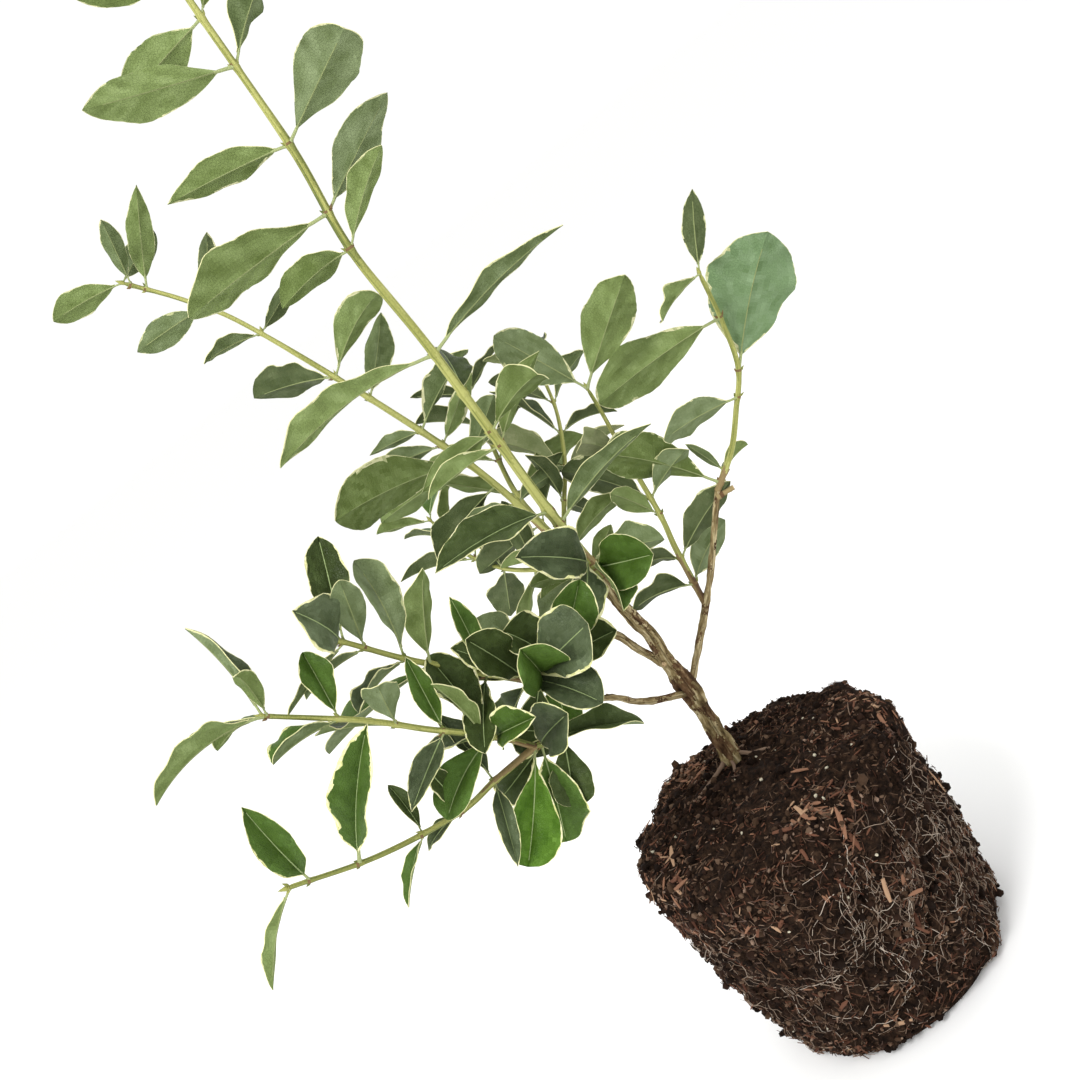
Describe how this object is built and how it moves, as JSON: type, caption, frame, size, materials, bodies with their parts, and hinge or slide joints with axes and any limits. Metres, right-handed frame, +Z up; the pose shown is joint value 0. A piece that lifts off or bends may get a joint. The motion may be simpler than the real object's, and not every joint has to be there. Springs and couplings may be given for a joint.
{
  "type": "variegated euonymus shrub on its root ball",
  "caption": "Young variegated evergreen shrub, knocked out of its nursery pot and standing on the flat underside of its root ball.",
  "frame": {"origin": "centre of the flat underside of the root ball, on the surface that it stands on", "axes": "+Z up along the root ball, -Y towards the side shown in the picture, +X to that side's right"},
  "size_m": [0.3452, 0.2358, 0.5421],
  "materials": {
    "soil": "matte, crumbly",
    "bark": "rough",
    "leaves": "satin"
  },
  "bodies": {
    "root": {"root_ball": "soil", "trunk": "bark", "bough_right": "bark", "bough_front_left": "bark", "bough_back_left": "bark", "foliage_leader": "leaves", "foliage_right": "leaves", "foliage_knot_twig": "leaves", "foliage_back_left": "leaves", "foliage_front_left": "leaves", "foliage_upper_left": "leaves", "foliage_middle": "leaves"}
  },
  "joints": []
}
